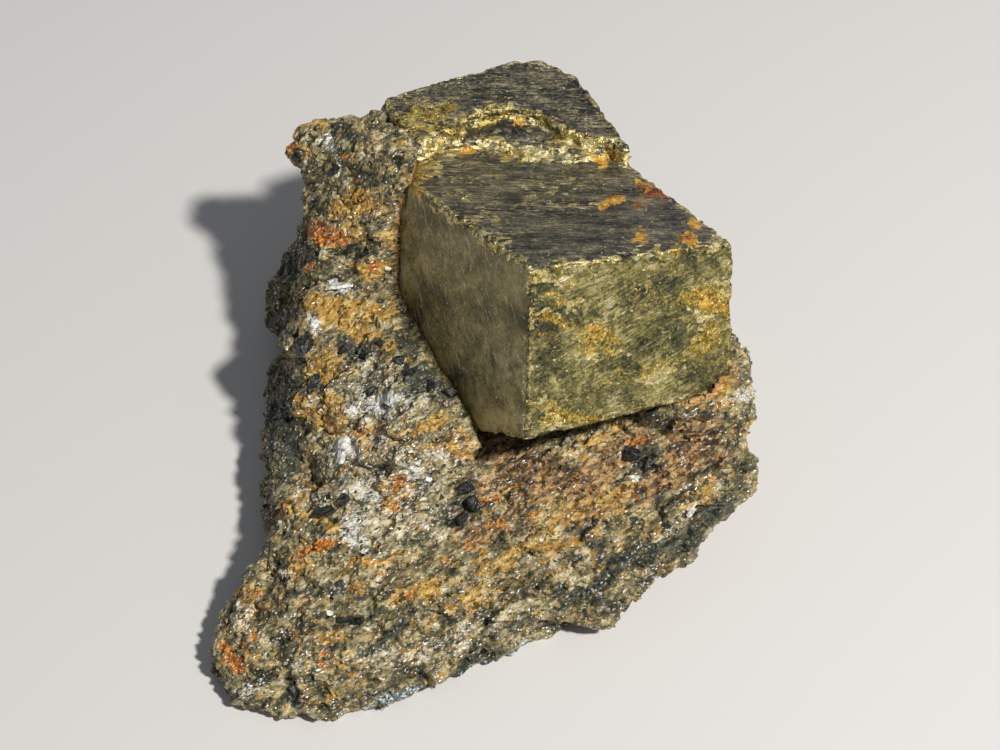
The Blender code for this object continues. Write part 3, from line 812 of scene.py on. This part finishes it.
crystalStains = {
    "ochre": [
        (716, 300, 16, 54, 90, 1.0), (704, 340, 24, 20, 60, 0.8), (600, 340, 16, 22, 60, 0.9),
        (585, 332, 20, 14, 20, 0.6), (548, 316, 7, 30, 80, 1.0), (541, 335, 6, 18, 80, 0.7),
        (575, 416, 44, 9, 8, 0.9), (550, 405, 16, 10, 0, 0.6), (640, 372, 60, 14, 25, 0.5),
        (665, 300, 24, 14, 10, 0.4), (553, 372, 10, 14, 80, 0.4), (465, 152, 22, 6, 8, 1.0),
        (500, 156, 24, 4, 0, 0.6), (556, 150, 22, 8, 0, 0.6), (600, 156, 26, 6, 0, 0.7),
        (405, 140, 8, 24, 60, 0.8), (410, 168, 10, 22, 60, 0.9), (420, 182, 8, 10, 50, 0.7),
        (440, 112, 26, 12, 10, 0.8), (470, 96, 20, 6, 10, 0.5), (540, 182, 40, 3, 12, 0.5),
        (415, 118, 34, 20, 15, 0.6), (450, 132, 34, 8, 0, 0.5), (460, 180, 30, 6, 0, 0.45),
        (620, 222, 4, 3, 0, 0.6), (676, 250, 10, 5, 30, 0.9), (505, 117, 20, 4, 0, 0.6),
        (580, 197, 24, 3, 5, 0.5), (520, 258, 8, 4, 0, 0.7), (560, 170, 30, 3, 14, 0.4),
    ],
    "gold": [
        (432, 146, 24, 9, -3, 1.0), (500, 112, 34, 6, 0, 1.0), (485, 138, 18, 6, 30, 0.8),
        (520, 157, 24, 5, 5, 0.9), (575, 146, 34, 9, 5, 1.0), (615, 150, 24, 7, -10, 0.8),
        (640, 160, 16, 6, -30, 0.8), (405, 125, 8, 22, 60, 0.8), (430, 110, 30, 14, 10, 0.7),
        (470, 122, 30, 5, -5, 0.8), (500, 105, 40, 8, 10, 0.4), (428, 170, 14, 12, -20, 0.7),
        (550, 278, 28, 11, 5, 1.0), (541, 312, 9, 26, 85, 0.9), (577, 302, 12, 7, 20, 1.0),
        (590, 330, 26, 20, 40, 0.7), (600, 355, 40, 8, 5, 0.7), (722, 290, 14, 40, 90, 0.9),
        (700, 330, 26, 30, 60, 0.7), (660, 370, 60, 14, 20, 0.6), (570, 420, 44, 12, 10, 0.9),
        (545, 400, 14, 16, 0, 0.6), (725, 237, 14, 6, 30, 0.9), (570, 260, 24, 6, 0, 0.9),
        (635, 250, 44, 5, 8, 0.7), (450, 217, 26, 5, -36, 0.9), (490, 246, 26, 6, -36, 0.9),
        (520, 262, 14, 8, -20, 0.9), (470, 200, 22, 7, -20, 0.5), (500, 215, 22, 4, 0, 0.5),
        (560, 185, 60, 5, 12, 0.5), (480, 180, 30, 4, 5, 0.4), (690, 245, 20, 5, 30, 0.7),
        (480, 230, 52, 22, -34, 0.48), (560, 205, 70, 16, -8, 0.40), (690, 212, 30, 24, -36, 0.42),
        (428, 118, 38, 22, 10, 0.8),
    ],
    "orange": [
        (470, 150, 14, 7, 15, 0.8), (610, 203, 13, 8, 10, 1.0), (650, 195, 13, 9, 40, 0.9),
        (640, 181, 18, 4, -30, 0.8), (640, 235, 12, 8, 10, 0.95), (698, 226, 11, 7, 30, 1.0),
        (686, 240, 8, 6, 20, 0.8), (595, 328, 8, 9, 80, 0.8), (712, 300, 10, 34, 80, 0.7),
        (640, 300, 30, 14, 20, 0.35), (590, 415, 18, 8, 10, 0.6), (405, 170, 8, 18, 60, 0.8),
        (520, 128, 14, 10, 20, 0.7), (600, 158, 20, 6, 0, 0.7), (556, 300, 6, 16, 70, 0.5),
        (422, 195, 8, 14, 50, 0.6), (660, 182, 14, 5, -40, 0.7), (590, 350, 14, 8, 0, 0.5),
    ],
    "red": [
        (652, 196, 12, 9, 50, 1.0), (638, 206, 6, 4, 0, 0.9), (640, 188, 10, 5, -20, 0.7),
        (540, 345, 5, 12, 90, 0.3),
    ],
    "dark": [
        (440, 305, 20, 34, 90, 0.6), (520, 320, 12, 50, 85, 0.6), (510, 225, 50, 14, 0, 0.5),
        (600, 225, 50, 16, 0, 0.6), (585, 100, 24, 26, 60, 0.8), (640, 290, 40, 14, 20, 0.5),
        (560, 370, 20, 20, 30, 0.4), (580, 180, 40, 6, 5, 0.5), (540, 135, 30, 9, -5, 0.8),
        (680, 210, 20, 10, -30, 0.6), (590, 86, 12, 12, 50, 1.0), (622, 140, 12, 12, 60, 0.7),
        (505, 134, 34, 9, -5, 1.0), (545, 128, 34, 8, -12, 1.0), (470, 126, 12, 5, 0, 0.6),
    ],
    "pale": [
        (505, 415, 26, 16, 0, 0.8), (475, 395, 20, 14, -40, 0.4), (510, 360, 8, 4, 30, 0.6),
        (516, 375, 4, 14, 100, 0.6), (470, 280, 4, 30, 110, 0.3), (470, 235, 10, 6, -40, 0.3),
    ],
}


def wayBetween(first, last):
    start, end = [underPhoto(crystalTree, *pixel)[0] for pixel in (first, last)]
    return tuple(Vector(end - start).normalized())


def sharpPlaces(node):
    shape = bmesh.new()
    shape.from_mesh(node.data)
    bmesh.ops.remove_doubles(shape, verts=shape.verts, dist=1e-7)
    places = []
    for edge in shape.edges:
        if len(edge.link_faces) == 2 and edge.calc_face_angle(0.0) > math.radians(20):
            first, last = edge.verts[0].co / mm, edge.verts[1].co / mm
            steps = max(2, int((last - first).length / 0.4))
            places += [first.lerp(last, step / steps) for step in range(steps + 1)]
    shape.free()
    return places


def stripes(points, direction, across, along, seed):
    direction = np.array(direction) / np.linalg.norm(direction)
    run = points @ direction
    rest = points - np.outer(run, direction)
    return layeredNoise(rest / across + np.outer(run / along, direction), 1.0, seed)


def makeCrystal():
    obj = remeshed(crystalNode, "pyriteCrystal", crystal["voxel"])
    points = readPoints(obj.data)
    normals = readNormals(obj.data)
    masks = {}
    for name in crystal["faces"]:
        place, normal = underPhoto(crystalTree, *crystal["faces"][name])
        flat = smoothStep(normals @ normal, 0.86, 0.97)
        close = 1.0 - smoothStep(np.abs((points - place) @ normal), 0.3, 0.9)
        masks[name] = flat * close
    edge = distanceTo(points, sharpPlaces(crystalNode))
    pixels = toPhoto(points)
    facing = smoothStep(normals @ cameraAxes[2], -0.1, 0.15)
    band = photoSpots(pixels, facing, crystal["band"])
    size, height, seed = crystal["waves"]
    relief = height * (layeredNoise(points, size, seed) - 0.5)
    for name, (way, wide, long, height, seed) in crystal["lines"].items():
        relief += masks[name] * height * (stripes(points, way, wide, long, seed) - 0.5)
    chips, blocks, rough = [
        grainRelief(points * np.array(crystal[name][0]), crystal[name][1])[0]
        for name in ("chips", "blocks", "rough")
    ]
    relief += (masks["rightFront"] * 0.8 + (masks["terrace"] + masks["rearTerrace"]) * 0.25) * chips
    relief += band * (blocks + 0.1)
    broken = smoothStep(layeredNoise(points, 1.2, 67), 0.45, 0.75)
    relief -= crystal["edgeChip"] * (1.0 - smoothStep(edge, 0.1, 0.8)) * broken
    unseen = 1.0 - np.maximum.reduce(list(masks.values()))
    relief += unseen * (1.0 - band) * rough * smoothStep(edge, 0.2, 0.8)
    writePoints(obj.data, points + normals * relief[:, None])
    for name, mask in masks.items():
        writeLayer(obj.data, name, mask)
    writeLayer(obj.data, "band", band)
    writeLayer(obj.data, "seen", facing)
    writeLayer(obj.data, "edge", 1.0 - smoothStep(edge, 0.15, 1.3))
    for name, spots in crystalStains.items():
        writeLayer(obj.data, name + "Spots", photoSpots(pixels, facing, spots))
    obj.data.polygons.foreach_set("use_smooth", [True] * len(obj.data.polygons))
    print("crystal", len(obj.data.polygons), "faces")
    return obj


def crystalFinish():
    made = Finish("tarnishedPyrite")
    place = made.place()
    terrace, rear = made.layer("terrace"), made.layer("rearTerrace")
    right, left = made.layer("rightFront"), made.layer("leftFace")
    band, edge, seen = made.layer("band"), made.layer("edge"), made.layer("seen")
    gold, orange, red = made.layer("goldSpots"), made.layer("orangeSpots"), made.layer("redSpots")
    dark, pale = made.layer("darkSpots"), made.layer("paleSpots")
    ochre = made.layer("ochreSpots")
    cloud = made.noise(place, crystal["cloudSize"], 6.0, 0.62, 0.3)
    elsewhere = made.vector("ADD", place, (31.0, 5.0, 12.0))
    patch = made.noise(elsewhere, crystal["patchSize"], 6.0, 0.68, 0.4)
    fine = made.noise(place, crystal["fineSize"], 6.0, 0.72)
    grit = made.cells(place, crystal["gritSize"])
    one, two, three = made.split(grit, 3)
    squeezed = made.vector("MULTIPLY", place, (0.55, 1.0, 1.5))
    chip, chipTwo = made.split(made.cells(squeezed, crystal["chipSize"]), 2)
    waves = made.noise(made.vector("MULTIPLY", place, (0.20, 0.8, 0.8)), 1.0, 7.0, 0.70, 2.6)
    streak = made.noise(made.vector("MULTIPLY", place, (0.75, 3.4, 3.4)), 1.0, 5.0, 0.68, 1.6)
    dashes = streak + (patch - 0.5) * 0.5 + (cloud - 0.5) * 0.4 + (1.0 - dark) * 0.02
    dashes = made.rise(dashes, 0.545, 0.70)
    slant = made.drawn(place, wayBetween(*crystal["slants"]), 0.5, 2.8, 7.0, 0.72, 1.6)
    # painted reflection: bright gold patches on the right front face along the slanting streaks
    paintedShine = made.rise(slant + (patch - 0.5) * 0.8 + (cloud - 0.5) * 0.5, 0.56, 0.70)
    down = wayBetween(*crystal["scratches"])
    brushed = made.drawn(place, down, 1.0, 5.0, 6.0, 0.7, 1.6)
    hairs = made.rise(made.drawn(place, down, 0.24, 3.0, 2.0, 0.5, 0.5) + (patch - 0.5) * 0.7, 0.62, 0.68)
    drift = made.noise(made.vector("MULTIPLY", place, (0.12, 0.4, 0.4)), 1.0, 4.0, 0.6, 1.2)
    shade = (waves - 0.5) * 0.8 + (drift - 0.5) * 0.8 + (fine - 0.5) * 0.5 + (one - 0.5) * 0.16
    onTop = made.ramp(shade - dark * 0.08 + 0.52, [
        (0.34, (0.022, 0.023, 0.020)), (0.49, (0.074, 0.072, 0.060)), (0.60, (0.165, 0.152, 0.108)),
        (0.76, (0.36, 0.32, 0.19)),
    ])
    onTop = made.blend(dashes * 0.85, onTop, made.blend(fine, (0.30, 0.22, 0.06), (0.88, 0.80, 0.54)))
    shade = slant * 0.5 + cloud * 0.6 + patch * 0.6 + (one - 0.5) * 0.18 - dark * 0.08 - 0.295
    onRight = made.ramp(shade, [
        (0.34, (0.024, 0.030, 0.022)), (0.46, (0.090, 0.092, 0.046)), (0.57, (0.23, 0.205, 0.075)),
        (0.70, (0.48, 0.40, 0.13)),
    ])
    # the painted reflection is blended in as pale gold
    onRight = made.blend(paintedShine * 0.85, onRight, made.blend(fine, (0.34, 0.29, 0.10), (0.92, 0.86, 0.58)))
    shade = cloud * 0.55 + brushed * 0.4 + patch * 0.35 + fine * 0.25 + pale * 0.2 - dark * 0.16 - 0.22
    onLeft = made.ramp(shade + (one - 0.5) * 0.14, [
        (0.32, (0.034, 0.036, 0.018)), (0.45, (0.120, 0.108, 0.045)), (0.56, (0.27, 0.225, 0.085)),
        (0.72, (0.52, 0.45, 0.22)),
    ])
    hidden = made.ramp(cloud * 0.6 + fine * 0.4, [
        (0.30, (0.030, 0.030, 0.018)), (0.50, (0.10, 0.092, 0.045)), (0.68, (0.22, 0.19, 0.09)),
        (0.85, (0.42, 0.36, 0.19)),
    ])
    colour = made.blend(made.rise(terrace + rear + band, 0.2, 0.8), hidden, onTop)
    colour = made.blend(right, colour, onRight)
    colour = made.blend(left, colour, onLeft)
    rim = made.rise(edge * 0.62 + (fine - 0.5) * 1.1 + (chip - 0.5) * 0.5, 0.42, 0.62)
    rim = rim * (1.0 - left) * (0.3 + seen * 0.7)
    golden = gold * 0.72 + (fine - 0.5) * 1.2 + (chip - 0.5) * 0.5 + (cloud - 0.5) * 0.5
    golden = made.rise(golden, 0.34, 0.56)
    golden = made.rise((golden + band * (chipTwo - 0.1)) * (1.0 - dark * 0.75) + rim * 0.85, 0.25, 0.8)
    brassy = made.ramp(fine * 0.6 + chipTwo * 0.2 + two * 0.3 + band * 0.06, [
        (0.28, (0.14, 0.095, 0.014)), (0.42, (0.42, 0.30, 0.055)), (0.56, (0.74, 0.60, 0.20)),
        (0.72, (0.98, 0.93, 0.64)),
    ])
    colour = made.blend(golden * 0.95, colour, brassy)
    earthy = ochre * 0.62 + (fine - 0.5) + (patch - 0.5) * 0.8 + (two - 0.5) * 0.35
    earthy = made.rise(earthy, 0.30, 0.55)
    earth = made.ramp(fine * 0.6 + three * 0.4, [
        (0.28, (0.14, 0.07, 0.008)), (0.45, (0.46, 0.27, 0.020)), (0.6, (0.74, 0.52, 0.07)),
        (0.8, (0.93, 0.82, 0.38)),
    ])
    colour = made.blend(earthy * 0.9, colour, earth)
    rusty = made.rise(orange * 0.8 + (fine - 0.5) * 1.7 + (two - 0.5) * 0.35, 0.40, 0.56)
    limonite = made.ramp((fine - 0.5) * 1.5 + (patch - 0.5) + two * 0.3 + 0.33, [
        (0.3, (0.24, 0.065, 0.006)), (0.5, (0.54, 0.24, 0.012)), (0.7, (0.80, 0.50, 0.07)),
    ])
    colour = made.blend(rusty, colour, limonite)
    redder = made.rise(red * 0.8 + (fine - 0.5) * 1.6 + (three - 0.5) * 0.4, 0.40, 0.58)
    crimson = made.ramp((fine - 0.5) * 1.5 + three * 0.3 + 0.33, [
        (0.3, (0.07, 0.012, 0.004)), (0.5, (0.24, 0.050, 0.008)), (0.7, (0.50, 0.17, 0.02)),
    ])
    colour = made.blend(redder, colour, crimson)
    glint = made.rise(one + golden * 0.06 + dashes * 0.05, 0.98, 0.988)
    colour = made.blend(glint * 0.6, colour, (0.80, 0.72, 0.46))
    colour = made.blend(hairs * left * 0.75, colour, (0.62, 0.58, 0.46))
    made.set(Base_Color=colour)
    coated = made.rise(rusty + redder, 0.0, 1.0)
    made.set(Metallic=(0.62 + golden * 0.2 - left * 0.2) * (1.0 - coated * 0.9))
    made.set(Roughness=0.40 + (fine - 0.5) * 0.35 + coated * 0.25 - glint * 0.15 - left * 0.06)
    height = (waves + streak * 0.4) * (terrace + rear) * 0.42 + slant * right * 0.8
    height = height + fine * (0.5 - left * 0.3) + golden * 0.3 + hairs * left * 0.15
    turned = made.tilted(grit, 0.14 + glint * 0.5 + golden * 0.35, made.bump(height, 0.5))
    made.set(Normal=turned)
    return made.material


rockPiece = makeRock()
rockPiece.data.materials.append(rockFinish())
crystalPiece = makeCrystal()
crystalPiece.data.materials.append(crystalFinish())


schist = rockPiece.data.materials[0]
schistGrains = scatterChunks(rockPiece)
rockHost = (rockTree, rock["swell"])
crystalHost = (crystalTree, blackGrains["onCrystal"])
blackMica = placedChunks("blackMica", blackGrains, rockHost, crystalHost)
whiteQuartz = placedChunks("whiteQuartz", whiteGrains, rockHost)
silverFlakes = scatterPlates("silverMica", rockPiece, flakes["silver"])
greenFlakes = scatterPlates("greenMica", rockPiece, flakes["green"])
black = grainFinish("blackMica", (0.006, 0.007, 0.007), (0.035, 0.04, 0.036), 0.16, 0.0)
white = grainFinish("whiteQuartz", (0.55, 0.55, 0.50), (0.90, 0.90, 0.87), 0.2, 0.0)
silver = plateFinish("silverMica", (0.66, 0.65, 0.58), (0.34, 0.29, 0.18), 0.22, 0.6)
green = plateFinish("greenMica", (0.035, 0.05, 0.035), (0.13, 0.11, 0.05), 0.2, 0.2)
added = [schistGrains, blackMica, whiteQuartz, silverFlakes, greenFlakes]
for piece, finish in zip(added, [schist, black, white, silver, green]):
    piece.data.materials.append(finish)

rockPieces = [rockPiece, *added]
for piece in [*rockPieces, crystalPiece]:
    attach(piece, "root")
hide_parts("schist_matrix")
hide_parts("pyrite_crystal")
print("pieces ride on the frame")

# floor and light
studio = {
    "floorColour": (0.60, 0.595, 0.59),
    "skyColour": (0.86, 0.90, 0.97),
    "skyStrength": 0.22,
    "keyFrom": (0.57, -0.46, 1.0),
    "keyDistance": 600.0,
    "keySize": 42.0,
    "keyPower": 4.5,
    "keyColour": (1.0, 0.965, 0.91),
}


def addStudio():
    bpy.ops.mesh.primitive_plane_add(size=4.0, location=(0.0, 0.0, 0.0))
    floor = bpy.context.object
    floor.name = "floor"
    paint = Finish("paleFloor")
    paint.set(Base_Color=studio["floorColour"], Roughness=0.85)
    floor.data.materials.append(paint.material)
    world = bpy.data.worlds.new("studio")
    world.use_nodes = True
    background = world.node_tree.nodes["Background"]
    background.inputs["Color"].default_value = (*studio["skyColour"], 1.0)
    background.inputs["Strength"].default_value = studio["skyStrength"]
    bpy.context.scene.world = world
    data = bpy.data.lights.new("key", "AREA")
    data.energy = studio["keyPower"]
    data.size = studio["keySize"] * mm
    data.color = studio["keyColour"]
    key = bpy.data.objects.new("key", data)
    bpy.context.scene.collection.objects.link(key)
    way = Vector(studio["keyFrom"]).normalized()
    key.location = way * studio["keyDistance"] * mm
    key.rotation_euler = way.to_track_quat("Z", "Y").to_euler()
    bpy.context.scene.view_settings.view_transform = "Standard"


addStudio()
print("studio lit")
